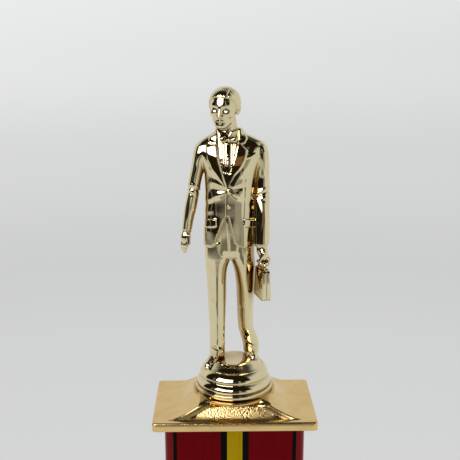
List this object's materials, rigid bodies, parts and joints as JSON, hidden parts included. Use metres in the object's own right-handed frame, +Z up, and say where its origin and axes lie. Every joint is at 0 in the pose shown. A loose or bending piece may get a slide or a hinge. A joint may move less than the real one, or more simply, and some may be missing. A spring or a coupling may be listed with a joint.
{
  "type": "trophy",
  "caption": "Award with a gold-plated suited figure holding a briefcase on a round stand, over a gold lid, striped rectangular column and wooden base.",
  "frame": {"origin": "middle of the bounding box's underside, on the felt pad's resting face", "axes": "+Z up along the tie rod, the figure faces -Y, +X to the figure's left hand"},
  "size_m": [0.1, 0.07, 0.3058],
  "materials": {
    "champagne_plating": "moulded plastic with a vacuum-plated champagne gold mirror coat",
    "gold_plating": "moulded plastic with a yellow gold plated coat, satin on the broad faces, bright on edges",
    "striped_foil": "glossy metallic red foil with black and yellow stripes down the front and back",
    "tube_board": "plain grey-white pressed tube",
    "base_wood": "dark walnut with satin lacquer",
    "pad_felt": "dark green felt",
    "zinc_steel": "bright zinc-plated steel",
    "insert_brass": "turned brass",
    "plate_aluminium": "gold anodised brushed sheet, blank",
    "foam_tape": "white double-sided foam tape"
  },
  "bodies": {
    "award_body": {"felt_pad": "pad_felt", "base_block": "base_wood", "name_plate": "plate_aluminium", "name_plate_tape": "foam_tape", "column_foot": "gold_plating", "column_tube": "tube_board", "column_foil": "striped_foil", "lid": "gold_plating", "tie_rod": "zinc_steel", "top_washer": "zinc_steel", "top_nut": "zinc_steel", "rod_washer": "zinc_steel", "lock_washer": "zinc_steel", "rod_nut": "zinc_steel"},
    "figure": {"figure_front_half": "champagne_plating", "figure_back_half": "champagne_plating", "figure_stand": "champagne_plating", "threaded_insert": "insert_brass", "briefcase": "champagne_plating", "briefcase_handle": "champagne_plating"}
  },
  "joints": [
    {"name": "figure_turn", "type": "hinge", "parent": "award_body", "child": "figure", "pos_m": [0, 0, 0.1654], "axis": [0, 0, 1], "range_deg": [-180, 180]}
  ]
}
